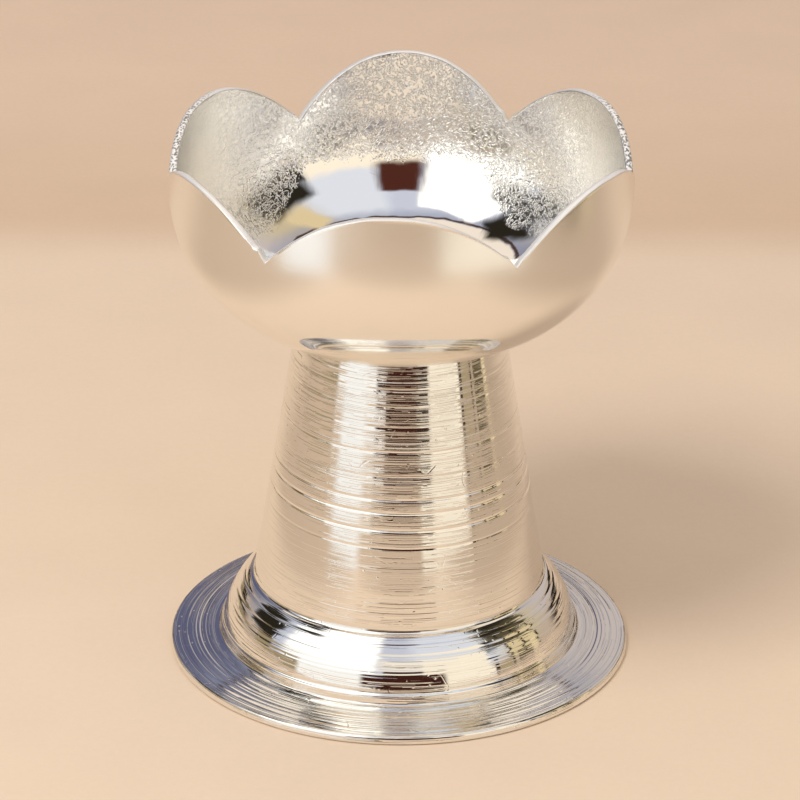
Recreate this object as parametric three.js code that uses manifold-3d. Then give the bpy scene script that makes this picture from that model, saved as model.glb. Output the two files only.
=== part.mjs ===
// A small lotus oil lamp: a sheet-metal bowl with six cut petals, on a turned hollow pedestal.
// Sizes are in millimetres, +Z is up, and the origin is the centre of the foot's resting face.
// The lamp's front is -Y. Angles are in degrees, counter-clockwise from +X seen from above.

import * as THREE from 'three';
import { mergeVertices } from 'three/addons/utils/BufferGeometryUtils.js';
import Module from 'manifold-3d';

const wasm = await Module();
wasm.setup();

// Pedestal, from the floor up: each step adds its own height to the step below it
const rimHeight = 1.0;
const flangeRise = 0.65;
const coveRise = 0.35;
const beadHeight = 0.8;
const ledgeRise = 0.15;
const bandHeight = 2.0;
const skirtHeight = 3.35;
const neckHeight = 0.9;
const coneHeight = 28.8;

// Pedestal, from the cone outwards: each step adds its own width to the step inside it
const coneTopRadius = 11.25;
const coneFootRadius = 15.95;
const neckWidth = 0.45;
const skirtWidth = 2.5;
const skirtCrown = 0.3;
const bandFlare = 0.6;
const ledgeWidth = 0.2;
const beadFlare = 0.15;
const coveWidth = 1.15;
const flangeWidth = 4.35;
const rimFlare = 0.15;

// Pedestal, inside: the casting is hollow, and a web closes its top
const castingWall = 1.7;
const webThickness = 2.5;

// Bowl: a spun cup of sheet, its rim cut into petals
const sheet = 0.8;
const bowlRadius = 24.9;
const bowlUprightHeight = 19;
const bowlFullness = 2.6;
const notchRise = 15.3;
const petalRoundness = 2.2;
const shapedDepth = 6;

// Each petal runs from its own notch to the next one, and rises to its tip between them
const petals = [
  { notchAngle: 0.5, tipRise: 6.3 },
  { notchAngle: 61, tipRise: 7.0 },
  { notchAngle: 118, tipRise: 6.1 },
  { notchAngle: 180, tipRise: 5.4 },
  { notchAngle: 236, tipRise: 6.3 },
  { notchAngle: 298.5, tipRise: 6.1 },
];

// Fixing: a stud soldered under the bowl passes through the web and takes a washer and a nut
const threadDiameter = 4;
const threadGap = 0.15;
const studTail = 1.5;
const studChamfer = 0.4;
const studPlateRadius = 6;
const studPlateThickness = 1.2;
const studPlateSideGap = 0.4;
const studPlateGapBelow = 0.3;
const webHoleGap = 0.3;
const washerOuterRadius = 4.5;
const washerThickness = 0.8;
const washerGap = 0.2;
const nutAcrossFlats = 7;
const nutHeight = 3.2;
const nutChamferAngle = 30;

// How finely the round surfaces are cut
const roundSegments = 72;
const petalColumns = 20;
const bowlRows = 8;
const petalRows = 4;
const curveSteps = 4;
const threadSegments = 24;

// Heights and radii that follow from the sizes above
const flangeTop = rimHeight + flangeRise;
const beadFoot = flangeTop + coveRise;
const beadTop = beadFoot + beadHeight;
const bandFoot = beadTop + ledgeRise;
const shoulderTop = bandFoot + bandHeight;
const skirtTop = shoulderTop + skirtHeight;
const coneFoot = skirtTop + neckHeight;
const seatHeight = coneFoot + coneHeight;
const skirtRadius = coneFootRadius + neckWidth;
const shoulderRadius = skirtRadius + skirtWidth;
const bandRadius = shoulderRadius + bandFlare;
const beadRadius = bandRadius + ledgeWidth;
const beadFootRadius = beadRadius + beadFlare;
const flangeInnerRadius = beadFootRadius + coveWidth;
const flangeRadius = flangeInnerRadius + flangeWidth;
const footRadius = flangeRadius + rimFlare;
const threadRadius = threadDiameter / 2;
const recessFloor = seatHeight - studPlateThickness - studPlateGapBelow;
const webUnderside = recessFloor - webThickness;
const washerHeight = webUnderside - washerThickness;
const nutFoot = washerHeight - nutHeight;
const studFoot = nutFoot - studTail;

const silver = { color: 0xd8d2c8, metalness: 1 };
const soldered = { color: 0xb9a06a, metalness: 1, roughness: 0.4 };
const zinc = { color: 0xb8bbbd, metalness: 1, roughness: 0.35 };

function mesh(name, geometry, material) {
  const part = new THREE.Mesh(geometry, new THREE.MeshStandardMaterial(material));
  part.name = name;
  return part;
}

// Revolves an outline of (radius, height) points about Z
function turned(outline, segments) {
  const geometry = new THREE.LatheGeometry(outline, segments);
  geometry.rotateX(Math.PI / 2);
  return geometry;
}

function closed(points) {
  return [...points, points[0].clone()];
}

// Radius of the cone's outer face at a height
function coneRadius(height) {
  const up = (height - coneFoot) / coneHeight;
  return THREE.MathUtils.lerp(coneFootRadius, coneTopRadius, up);
}

// The pedestal: foot flange, moulded skirt and cone outside, one plain hollow inside
function pedestal() {
  const outside = new THREE.Path();
  outside.moveTo(footRadius, 0);
  outside.lineTo(flangeRadius, rimHeight);
  outside.lineTo(flangeInnerRadius, flangeTop);
  outside.quadraticCurveTo(beadFootRadius, flangeTop, beadFootRadius, beadFoot);
  outside.lineTo(beadRadius, beadTop);
  outside.lineTo(bandRadius, bandFoot);
  outside.lineTo(shoulderRadius, shoulderTop);
  const skirtMiddle = new THREE.Vector2(
    (skirtRadius + shoulderRadius) / 2 + skirtCrown,
    (skirtTop + shoulderTop) / 2 + skirtCrown,
  );
  outside.quadraticCurveTo(skirtMiddle.x, skirtMiddle.y, skirtRadius, skirtTop);
  outside.quadraticCurveTo(coneFootRadius, skirtTop, coneFootRadius, coneFoot);
  outside.lineTo(coneTopRadius, seatHeight);

  const recessRadius = studPlateRadius + studPlateSideGap;
  const holeRadius = threadRadius + webHoleGap;
  const hollowMouth = bandRadius - castingWall;
  const inside = [
    [recessRadius, seatHeight],
    [recessRadius, recessFloor],
    [holeRadius, recessFloor],
    [holeRadius, webUnderside],
    [coneRadius(webUnderside) - castingWall, webUnderside],
    [coneFootRadius - castingWall, skirtTop - castingWall / 3],
    [shoulderRadius - castingWall, shoulderTop - castingWall / 2],
    [hollowMouth, 0],
  ].map(([radius, height]) => new THREE.Vector2(radius, height));

  const outline = closed([...outside.getPoints(curveSteps), ...inside]);
  return mesh('pedestal', turned(outline, roundSegments), { ...silver, roughness: 0.3 });
}

// Half-height of the bowl's curve, from its upright side down to where the curve would close
const bowlDepth = bowlUprightHeight / Math.pow(
  1 - Math.pow(coneTopRadius / bowlRadius, bowlFullness), 1 / bowlFullness);

// The bowl's side is a superellipse that stands upright above bowlUprightHeight. The inner face is
// the same curve with both of its half-axes one sheet smaller.
function bowlWall(height, inset) {
  const below = Math.max(0, bowlUprightHeight - height) / (bowlDepth - inset);
  const rest = Math.max(0, 1 - Math.pow(below, bowlFullness));
  return (bowlRadius - inset) * Math.pow(rest, 1 / bowlFullness);
}

// Height of a petal's edge above its notches: 0 at both notches, tipRise halfway
function petalRise(tipRise, across) {
  return tipRise * (1 - Math.pow(Math.abs(2 * across - 1), petalRoundness));
}

// The bowl is turned as a plain cup as tall as its tallest petal. Then every vertex of the shaped
// band is moved down along the wall, so that the rim follows the petals and dips into the notches.
function petalBowl() {
  const shapedFoot = notchRise - shapedDepth;
  const cupHeight = notchRise + Math.max(...petals.map((petal) => petal.tipRise));

  const rows = [];
  for (const inset of [0, sheet]) {
    const floor = inset;
    const side = [{ height: floor, radius: bowlWall(floor, inset), inset }];
    for (let row = 1; row <= bowlRows; row += 1) {
      const height = floor + (shapedFoot - floor) * Math.pow(row / bowlRows, 1.4);
      side.push({ height, radius: bowlWall(height, inset), inset });
    }
    for (let row = 1; row <= petalRows; row += 1) {
      const height = shapedFoot + (cupHeight - shapedFoot) * (row / petalRows);
      side.push({ height, radius: bowlWall(height, inset), inset });
    }
    side.unshift({ height: floor, radius: 0, inset });
    rows.push(...(inset === 0 ? side : side.reverse()));
  }

  const columns = petals.length * petalColumns;
  const outline = rows.map((row) => new THREE.Vector2(row.radius, row.height));
  const geometry = turned(outline, columns);
  const position = geometry.getAttribute('position');
  for (let vertex = 0; vertex < position.count; vertex += 1) {
    const row = rows[vertex % rows.length];
    const column = Math.floor(vertex / rows.length) % columns;
    const petal = Math.floor(column / petalColumns);
    const across = (column % petalColumns) / petalColumns;

    const start = petals[petal].notchAngle;
    const turn = petal + 1 < petals.length ? 0 : 360;
    const end = petals[(petal + 1) % petals.length].notchAngle + turn;
    const angle = THREE.MathUtils.degToRad(THREE.MathUtils.lerp(start, end, across));

    const shaped = Math.max(0, row.height - shapedFoot) / (cupHeight - shapedFoot);
    const rimHere = notchRise + petalRise(petals[petal].tipRise, across);
    const height = shaped > 0 ? shapedFoot + shaped * (rimHere - shapedFoot) : row.height;
    const radius = shaped > 0 ? bowlWall(height, row.inset) : row.radius;
    position.setXYZ(vertex, radius * Math.cos(angle), radius * Math.sin(angle), height);
  }

  const bowl = mesh('petal_bowl', geometry, { ...silver, roughness: 0.15 });
  bowl.position.z = seatHeight;
  return bowl;
}

// The stud's plate is soldered flat under the bowl. Its threaded shank hangs down the axis.
function fixingStud() {
  const shankLength = seatHeight - studPlateThickness - studFoot;
  const length = shankLength + studPlateThickness;
  const outline = [
    [0, 0],
    [threadRadius - studChamfer, 0],
    [threadRadius, studChamfer],
    [threadRadius, shankLength],
    [studPlateRadius, shankLength],
    [studPlateRadius, length],
    [0, length],
  ].map(([radius, height]) => new THREE.Vector2(radius, height));
  const stud = mesh('fixing_stud', turned(outline, threadSegments), soldered);
  stud.position.z = studFoot;
  return stud;
}

function washer() {
  const holeRadius = threadRadius + washerGap;
  const outline = closed([
    new THREE.Vector2(holeRadius, 0),
    new THREE.Vector2(washerOuterRadius, 0),
    new THREE.Vector2(washerOuterRadius, washerThickness),
    new THREE.Vector2(holeRadius, washerThickness),
  ]);
  const ring = mesh('washer', turned(outline, threadSegments), zinc);
  ring.position.z = washerHeight;
  return ring;
}

function solid(geometry) {
  const bare = geometry.clone();
  bare.deleteAttribute('normal');
  bare.deleteAttribute('uv');
  const merged = mergeVertices(bare);
  return new wasm.Manifold(new wasm.Mesh({
    numProp: 3,
    vertProperties: merged.getAttribute('position').array,
    triVerts: merged.getIndex().array,
  }));
}

function geometryOf(manifold) {
  const result = manifold.getMesh();
  const geometry = new THREE.BufferGeometry();
  geometry.setAttribute('position', new THREE.BufferAttribute(result.vertProperties, 3));
  geometry.setIndex(new THREE.BufferAttribute(result.triVerts, 1));
  geometry.computeVertexNormals();
  return geometry;
}

// A hexagonal nut: a six-sided bar, turned to a chamfer at both ends and bored through
function hexNut() {
  const flatRadius = nutAcrossFlats / 2;
  const cornerRadius = flatRadius / Math.cos(Math.PI / 6);

  const hexagon = new THREE.Shape();
  for (let corner = 0; corner < 6; corner += 1) {
    const angle = corner * Math.PI / 3;
    const x = cornerRadius * Math.cos(angle);
    const y = cornerRadius * Math.sin(angle);
    if (corner === 0) hexagon.moveTo(x, y);
    else hexagon.lineTo(x, y);
  }
  hexagon.closePath();
  const bar = solid(new THREE.ExtrudeGeometry(hexagon, { depth: nutHeight, bevelEnabled: false }));

  const turnedRadius = cornerRadius * 1.1;
  const slope = Math.tan(THREE.MathUtils.degToRad(nutChamferAngle));
  const chamferHeight = (turnedRadius - flatRadius) * slope;
  const chamfered = solid(turned([
    new THREE.Vector2(0, 0),
    new THREE.Vector2(flatRadius, 0),
    new THREE.Vector2(turnedRadius, chamferHeight),
    new THREE.Vector2(turnedRadius, nutHeight - chamferHeight),
    new THREE.Vector2(flatRadius, nutHeight),
    new THREE.Vector2(0, nutHeight),
  ], threadSegments));

  const boreRadius = threadRadius + threadGap;
  const bore = solid(turned([
    new THREE.Vector2(0, -1),
    new THREE.Vector2(boreRadius, -1),
    new THREE.Vector2(boreRadius, nutHeight + 1),
    new THREE.Vector2(0, nutHeight + 1),
  ], threadSegments));

  const nut = mesh('hex_nut', geometryOf(bar.intersect(chamfered).subtract(bore)), zinc);
  nut.position.z = nutFoot;
  return nut;
}

const lamp = new THREE.Group();
lamp.add(pedestal(), petalBowl(), fixingStud(), washer(), hexNut());

export default lamp;
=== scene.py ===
# A small lotus oil lamp in bright silver finish: a petal bowl on a turned hollow pedestal.
# Lengths in the sections are millimetres, as on the drawing, and the meshes are made in metres.
# The lamp's front is -Y and the table top is z = 0.

import math

import bpy
import numpy as np
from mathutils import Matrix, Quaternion, Vector


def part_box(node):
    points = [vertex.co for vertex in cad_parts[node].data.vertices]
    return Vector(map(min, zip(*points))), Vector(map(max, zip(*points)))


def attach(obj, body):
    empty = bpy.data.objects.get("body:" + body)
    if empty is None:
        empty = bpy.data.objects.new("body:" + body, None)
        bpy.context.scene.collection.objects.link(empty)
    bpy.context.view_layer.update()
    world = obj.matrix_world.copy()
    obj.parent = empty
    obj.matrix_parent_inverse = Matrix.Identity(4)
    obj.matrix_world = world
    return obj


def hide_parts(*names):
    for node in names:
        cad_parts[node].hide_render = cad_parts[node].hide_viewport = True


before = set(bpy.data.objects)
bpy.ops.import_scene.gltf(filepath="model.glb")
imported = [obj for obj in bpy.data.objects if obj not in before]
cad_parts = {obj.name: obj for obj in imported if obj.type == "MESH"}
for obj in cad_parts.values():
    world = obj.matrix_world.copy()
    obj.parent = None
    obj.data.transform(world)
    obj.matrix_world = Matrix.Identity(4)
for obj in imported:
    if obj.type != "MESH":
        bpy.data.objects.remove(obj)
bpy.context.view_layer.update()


# The camera stands in front of the lamp and looks down on it through a long lens. Its place comes
# from the ellipses of the foot, the rings and the petals, which one pinhole view fits.
MM = 0.001
camera_distance = 433.5
camera_elevation = math.radians(24.19)
camera_roll = math.radians(0.32)
camera_lens = 179.2
aim_height = 28.75

towards_camera = Vector((0, -math.cos(camera_elevation), math.sin(camera_elevation)))
camera_data = bpy.data.cameras.new("photo_camera")
camera_data.lens = camera_lens
camera_data.sensor_width = 36
camera_data.clip_start = 0.01
camera = bpy.data.objects.new("photo_camera", camera_data)
camera.location = (Vector((0, 0, aim_height)) + camera_distance * towards_camera) * MM
camera.rotation_mode = "QUATERNION"
level = (-towards_camera).to_track_quat("-Z", "Y")
camera.rotation_quaternion = level @ Quaternion((0, 0, 1), camera_roll)
bpy.context.scene.collection.objects.link(camera)
bpy.context.scene.camera = camera


# The table is covered with plain pale tan paper, with the faint cloudy grain of uncoated paper.
# Past the lamp its colour is painted a little darker, a painted shade for the dimmer backdrop, and
# farther back it grows paler again, a painted light. At the sides and in front, past what the
# camera sees, a darker painted shade stands for the light falling off, and the lamp's sides reflect it.
paper_colour = (0.83, 0.655, 0.48, 1)
painted_far_shade_colour = (0.73, 0.535, 0.37, 1)
painted_far_light_colour = (0.8, 0.605, 0.435, 1)
painted_side_shade_colour = (0.58, 0.45, 0.325, 1)
far_shade_start = 118
far_shade_softness = 9
palest_distance = 190
side_shade_half_width = 62
front_shade_reach = 98
side_shade_softness = 16
side_fade_start = 30
side_fade_end = 90
table_half = 3000


def feed(tree, socket, value):
    """Links another node's output to a socket, or sets the socket to a plain value."""
    if isinstance(value, bpy.types.NodeSocket):
        tree.links.new(value, socket)
    else:
        socket.default_value = value


def node(tree, kind, settings=None, **inputs):
    """Adds a shader node. Each input is a value or another node's output, named by its socket."""
    made = tree.nodes.new(kind)
    for name, value in (settings or {}).items():
        setattr(made, name, value)
    for name, value in inputs.items():
        feed(tree, made.inputs[name.replace("_", " ")], value)
    return made


def object_place(tree):
    """The place on the piece, in metres, that its patterns follow."""
    return node(tree, "ShaderNodeTexCoord").outputs["Object"]


def noise(tree, place, scale, detail=2.0, **inputs):
    """Noise at a place, with that many cells to each unit of it. Returns its value, about 0 to 1."""
    made = node(tree, "ShaderNodeTexNoise", Vector=place, Scale=scale, Detail=detail, **inputs)
    return made.outputs[0]


def maths(tree, operation, *values):
    """One step of arithmetic on up to three numbers or outputs, as a node. Returns its output."""
    made = tree.nodes.new("ShaderNodeMath")
    made.operation = operation
    for socket, value in zip(made.inputs, values):
        feed(tree, socket, value)
    return made.outputs[0]


def soft_step(tree, value, start, end, low=0.0, high=1.0):
    """Goes smoothly from low to high while value goes from start to end."""
    made = node(tree, "ShaderNodeMapRange", {"interpolation_type": "SMOOTHSTEP"}, Value=value,
                From_Min=start, From_Max=end, To_Min=low, To_Max=high)
    return made.outputs[0]


def blend_colours(tree, share, first, second):
    """Mixes two colours: all of the first at share 0, all of the second at share 1."""
    made = tree.nodes.new("ShaderNodeMix")
    made.data_type = "RGBA"
    for name, value in (("Factor_Float", share), ("A_Color", first), ("B_Color", second)):
        feed(tree, next(one for one in made.inputs if one.identifier == name), value)
    return next(one for one in made.outputs if one.identifier == "Result_Color")


def new_material(name):
    """An empty material with a Principled BSDF wired to its output. Returns both and the tree."""
    material = bpy.data.materials.new(name)
    material.use_nodes = True
    tree = material.node_tree
    tree.nodes.clear()
    shader = tree.nodes.new("ShaderNodeBsdfPrincipled")
    output = tree.nodes.new("ShaderNodeOutputMaterial")
    tree.links.new(shader.outputs["BSDF"], output.inputs["Surface"])
    return material, shader, tree


def plain_sheet(name, corners, material):
    """A flat sheet from its corner points, in order round it, in millimetres."""
    mesh = bpy.data.meshes.new(name)
    mesh.from_pydata(np.array(corners, float) * MM, [], [range(len(corners))])
    mesh.materials.append(material)
    sheet = bpy.data.objects.new(name, mesh)
    bpy.context.scene.collection.objects.link(sheet)


paper, shader, tree = new_material("tan_paper")
place = object_place(tree)
axes = node(tree, "ShaderNodeSeparateXYZ", Vector=place)
sideways = maths(tree, "ABSOLUTE", axes.outputs["X"])
frontwards = maths(tree, "MULTIPLY", axes.outputs["Y"], -1.0)
# Past the lamp the paper is blended to a darker painted shade, which pales farther back as painted light.
past_end = soft_step(tree, axes.outputs["Y"], (far_shade_start - far_shade_softness) * MM,
                     (far_shade_start + far_shade_softness) * MM)
past_side = soft_step(tree, sideways, (side_shade_half_width - side_shade_softness) * MM,
                      (side_shade_half_width + side_shade_softness) * MM)
past_front = soft_step(tree, frontwards, (front_shade_reach - side_shade_softness) * MM,
                       (front_shade_reach + side_shade_softness) * MM)
near_side = soft_step(tree, axes.outputs["Y"], side_fade_start * MM, side_fade_end * MM, 1.0, 0.0)
past_side = maths(tree, "MULTIPLY", past_side, near_side)
# At the sides and in front the paper is blended to a darker tone: painted shade where the light falls off.
painted_side_shade = maths(tree, "MAXIMUM", past_side, past_front)
cloud = noise(tree, place, 60.0, 3.0)
grain = noise(tree, place, 1100.0, 4.0, Roughness=0.7)
mottle = maths(tree, "ADD", maths(tree, "MULTIPLY", cloud, 0.5), maths(tree, "MULTIPLY", grain, 0.5))
paling = soft_step(tree, axes.outputs["Y"], far_shade_start * MM, palest_distance * MM)
painted_far_colour = blend_colours(tree, paling, painted_far_shade_colour, painted_far_light_colour)
paper_with_painted_shade = blend_colours(tree, past_end, paper_colour, painted_far_colour)
paper_with_painted_shade = blend_colours(tree, painted_side_shade, paper_with_painted_shade, painted_side_shade_colour)
shade = maths(tree, "MULTIPLY_ADD", mottle, 0.16, 0.92)
toned = node(tree, "ShaderNodeVectorMath", {"operation": "SCALE"}, Vector=paper_with_painted_shade, Scale=shade)
tree.links.new(toned.outputs["Vector"], shader.inputs["Base Color"])
shader.inputs["Roughness"].default_value = 0.9
shader.inputs["Specular IOR Level"].default_value = 0.2

table_corners = [(-table_half, -table_half, 0), (table_half, -table_half, 0),
                 (table_half, table_half, 0), (-table_half, table_half, 0)]
plain_sheet("paper_table", table_corners, paper)


# The studio: tall white panels close by on the left, low cream ones on the right, and dark and gold
# cards between them, all of which only reflections see. A soft lamp at the left lights the table and
# gives the oil lamp its shadow. The world is a lavender room with a bright patch high up behind.
def point_at(azimuth, distance, height):
    """A point at an azimuth in degrees from the front, positive to the right, in millimetres."""
    turn = math.radians(azimuth)
    return Vector((math.sin(turn) * distance, -math.cos(turn) * distance, height))


def panel(name, azimuths, distances, heights, colour, strength=1.0, soft_sides=0.1, soft_ends=0.1):
    """A sheet bent round the axis, from its first distance and height to its second. It glows in one
    colour on the side that faces the lamp, and fades to nothing at its edges. Softness is a share of
    the sheet's width and height."""
    steps = 24
    turns = np.linspace(*azimuths, steps + 1)
    low = [point_at(turn, distances[0], heights[0]) for turn in turns]
    high = [point_at(turn, distances[1], heights[1]) for turn in turns]
    step = np.arange(steps)
    faces = np.stack([step + 1, step, steps + 1 + step, steps + 2 + step], axis=1)
    mesh = bpy.data.meshes.new(name)
    mesh.from_pydata([point * MM for point in low + high], [], faces.tolist())
    uv = np.stack([faces % (steps + 1) / steps, faces // (steps + 1)], axis=-1)
    mesh.uv_layers.new(name="panel").data.foreach_set("uv", uv.astype(np.float32).ravel())

    material = bpy.data.materials.new(name)
    material.use_nodes = True
    tree = material.node_tree
    tree.nodes.clear()
    axes = node(tree, "ShaderNodeSeparateXYZ", Vector=node(tree, "ShaderNodeTexCoord").outputs["UV"])
    shown = maths(tree, "SUBTRACT", 1.0, node(tree, "ShaderNodeNewGeometry").outputs["Backfacing"])
    for axis, softness in (("X", soft_sides), ("Y", soft_ends)):
        rising = soft_step(tree, axes.outputs[axis], 0.0, softness)
        falling = soft_step(tree, axes.outputs[axis], 1.0 - softness, 1.0, 1.0, 0.0)
        shown = maths(tree, "MULTIPLY", shown, maths(tree, "MULTIPLY", rising, falling))
    glow = node(tree, "ShaderNodeEmission", Color=(*colour, 1), Strength=strength)
    clear = node(tree, "ShaderNodeBsdfTransparent")
    mixed = node(tree, "ShaderNodeMixShader", Fac=shown)
    tree.links.new(clear.outputs[0], mixed.inputs[1])
    tree.links.new(glow.outputs[0], mixed.inputs[2])
    output = tree.nodes.new("ShaderNodeOutputMaterial")
    tree.links.new(mixed.outputs[0], output.inputs["Surface"])
    mesh.materials.append(material)

    made = bpy.data.objects.new(name, mesh)
    made.visible_camera = False
    made.visible_shadow = False
    made.visible_diffuse = False
    bpy.context.scene.collection.objects.link(made)


daylight = (1, 0.985, 0.96)
cream = (1, 0.89, 0.73)
tan_shade = (0.36, 0.28, 0.17)
olive = (0.1, 0.08, 0.045)
pale_olive = (0.42, 0.33, 0.19)
near_black = (0.022, 0.018, 0.012)
red_brown = (0.05, 0.014, 0.009)
gold = (0.75, 0.6, 0.36)

panel("left_window", (-84, -11), (250, 250), (-140, 640), daylight, 1.05, 0.1, 0.18)
panel("high_window", (-86, -13), (249, 249), (70, 640), daylight, 1.5, 0.12, 0.14)
panel("left_glare", (-60, -28), (104, 250), (0.3, 0.3), daylight, 1.0, 0.25, 0.08)
panel("right_window", (13, 62), (250, 250), (-8, 150), cream, 1.05, 0.08, 0.12)
panel("right_haze", (11, 64), (249, 249), (92, 215), cream, 1.05, 0.12, 0.4)
panel("front_haze", (-18, 20), (251, 251), (104, 196), cream, 1.0, 0.2, 0.25)
panel("right_glare", (16, 60), (108, 250), (0.3, 0.3), cream, 1.0, 0.1, 0.1)
panel("low_left_card", (-104, -62), (240, 240), (-8, 62), tan_shade, 1.0, 0.12, 0.14)
panel("far_left_card", (-150, -80), (246, 246), (-6, 20), tan_shade, 0.9, 0.1, 0.2)
panel("dark_left_card", (-118, -88), (240, 240), (42, 190), near_black, 1.0, 0.14, 0.14)
panel("near_left_card", (-116, -62), (110, 110), (94, 168), near_black, 1.0, 0.2, 0.3)
panel("steep_left_card", (-130, -84), (110, 110), (125, 270), near_black, 1.0, 0.25, 0.25)
panel("table_edge_card", (-14, 28), (244, 244), (-2, 20), near_black, 1.0, 0.03, 0.1)
panel("camera_card", (-25, 31), (243, 243), (8, 66), red_brown, 1.0, 0.08, 0.12)
panel("tripod_card", (-11, 17), (242, 242), (-2, 104), red_brown, 1.0, 0.1, 0.1)
panel("near_front_card", (-23, 25), (45, 45), (74, 131), red_brown, 1.6, 0.25, 0.14)
panel("cream_stripe", (56, 61), (190, 190), (-1, 24), cream, 1.05, 0.1, 0.1)
panel("dark_stripe", (61, 64), (189, 189), (-1, 40), near_black, 1.0, 0.1, 0.1)
panel("olive_stripe", (64, 74), (190, 190), (-1, 24), pale_olive, 1.0, 0.05, 0.1)
panel("thin_dark_stripe", (74, 76), (189, 189), (-1, 40), near_black, 1.0, 0.1, 0.1)
panel("dark_block", (78, 91), (165, 165), (-1, 34), olive, 1.3, 0.06, 0.06)
panel("gold_stripe", (91, 96), (164, 164), (-1, 34), gold, 1.2, 0.15, 0.1)
panel("dark_right_card", (60, 70), (214, 214), (95, 175), near_black, 1.0, 0.2, 0.2)
panel("near_right_card", (59, 114), (112, 112), (86, 172), near_black, 1.0, 0.2, 0.3)
panel("gold_card", (72, 106), (216, 216), (225, 520), gold, 1.0, 0.3, 0.25)
panel("olive_card", (66, 108), (218, 218), (105, 235), olive, 1.0, 0.12, 0.12)
panel("low_gold_card", (74, 102), (219, 219), (18, 112), gold, 1.0, 0.12, 0.12)
for bar_azimuth in (75, 87, 99):
    panel(f"dark_bar_{bar_azimuth}", (bar_azimuth, bar_azimuth + 2), (217, 217), (18, 235), near_black)
panel("far_wall_card", (115, 245), (600, 600), (0, 90), near_black)

key_size = 190
key_azimuth = -44
key_distance = 320
key_height = 505
key_data = bpy.data.lights.new("key_lamp", "AREA")
key_data.size = key_size * MM
key_data.energy = 1.6
key_data.color = (1, 0.98, 0.95)
key_lamp = bpy.data.objects.new("key_lamp", key_data)
key_lamp.location = point_at(key_azimuth, key_distance, key_height) * MM
key_lamp.rotation_euler = key_lamp.location.to_track_quat("Z", "Y").to_euler()
key_lamp.visible_glossy = False
bpy.context.scene.collection.objects.link(key_lamp)


def ramp(tree, value, stops):
    """Colours along a value from 0 to 1. Each stop is its place and its colour."""
    made = node(tree, "ShaderNodeValToRGB", Fac=value)
    elements = made.color_ramp.elements
    while len(elements) < len(stops):
        elements.new(1.0)
    for element, (place, colour) in zip(elements, stops):
        element.position = place
        element.color = (*colour, 1)
    return made.outputs["Color"]


behind = (0.42, 0.39, 0.41)
slate = (0.12, 0.125, 0.21)
lavender = (0.6, 0.63, 0.75)
pale_lavender = (0.76, 0.79, 0.88)
pink_grey = (0.58, 0.51, 0.49)
gold_wall = (0.6, 0.5, 0.34)
ceiling = (0.92, 0.81, 0.7)
deep_lavender = (0.3, 0.32, 0.43)
ceiling_frame = (0.07, 0.04, 0.035)
far_table = (0.55, 0.43, 0.34)
grey = (0.4, 0.39, 0.42)
room_by_azimuth = [(-180, behind), (-174, slate), (-140, slate), (-118, grey), (-86, lavender),
                   (4, lavender), (18, pale_lavender), (62, pale_lavender), (90, gold_wall),
                   (108, gold_wall), (125, pink_grey), (170, pink_grey), (180, behind)]

# Nearness is the cosine of the angle to the middle of the ceiling's bright patch. Each pair is where
# a soft step on it begins and ends: the darker room near the patch, its edge and its dark frame.
patch_elevation = math.radians(72)
darker_room = (0.74, 0.835)
patch_edge = (0.845, 0.86)
frame_outside = (0.832, 0.838)
frame_inside = (0.846, 0.854)

world = bpy.data.worlds.new("studio_room")
world.use_nodes = True
tree = world.node_tree
tree.nodes.clear()
view = node(tree, "ShaderNodeTexCoord").outputs["Generated"]
axes = node(tree, "ShaderNodeSeparateXYZ", Vector=view)
azimuth = maths(tree, "ARCTAN2", axes.outputs["X"], maths(tree, "MULTIPLY", axes.outputs["Y"], -1.0))
turn_share = maths(tree, "MULTIPLY_ADD", azimuth, 0.5 / math.pi, 0.5)
room = ramp(tree, turn_share, [((turn + 180) / 360, colour) for turn, colour in room_by_azimuth])
above_table = soft_step(tree, axes.outputs["Z"], 0.1, 0.33)
room = blend_colours(tree, above_table, (*far_table, 1), room)
to_patch = node(tree, "ShaderNodeVectorMath", {"operation": "DOT_PRODUCT"}, Vector=view)
to_patch.inputs[1].default_value = (0, math.cos(patch_elevation), math.sin(patch_elevation))
nearness = to_patch.outputs["Value"]
darkened = soft_step(tree, nearness, *darker_room, 0.0, 0.6)
room = blend_colours(tree, darkened, room, (*deep_lavender, 1))
sky = blend_colours(tree, soft_step(tree, nearness, *patch_edge), room, (*ceiling, 1))
in_frame = maths(tree, "MULTIPLY", soft_step(tree, nearness, *frame_outside),
                 soft_step(tree, nearness, *frame_inside, 1.0, 0.0))
sky = blend_colours(tree, in_frame, sky, (*ceiling_frame, 1))
background = node(tree, "ShaderNodeBackground", Color=sky, Strength=1.0)
output = tree.nodes.new("ShaderNodeOutputWorld")
tree.links.new(background.outputs["Background"], output.inputs["Surface"])
bpy.context.scene.world = world
bpy.context.scene.view_settings.view_transform = "Standard"


# The pedestal is one hollow casting, turned outside: a tapered column with a small neck, a convex
# skirt, an upright band, a bead, a cove and a flat flange. The tool left rings all over it, a few of
# them deep, and the silver finish is bright but hazy where the tool has scratched it.
foot_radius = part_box("pedestal")[1].x / MM
seat_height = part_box("pedestal")[1].z / MM
rim_height = 1.0
flange_rise = 0.65
cove_rise = 0.35
bead_height = 0.8
ledge_rise = 0.15
band_height = 2.0
skirt_height = 3.35
neck_height = 0.9
cone_top_radius = 11.25
cone_foot_radius = 15.95
neck_width = 0.45
skirt_width = 2.5
skirt_crown = 0.3
band_flare = 0.6
band_crown = 0.075
ledge_width = 0.2
bead_flare = 0.15
cove_width = 1.15
rim_flare = 0.15
rim_rounding = 0.4
rim_crown = 0.05
rim_chamfer = 0.22
casting_wall = 1.7
recess_radius = 6.4
recess_depth = 1.5
web_thickness = 2.5
stud_hole_radius = 2.3

outline_step = 0.075
inner_step = 0.9
corner_softness = 0.07
pedestal_columns = 128
ring_tilt = math.radians(1.0)
coarse_ring_depth = 0.0035
fine_ring_depth = 0.0012
flange_margin = 0.02


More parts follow.
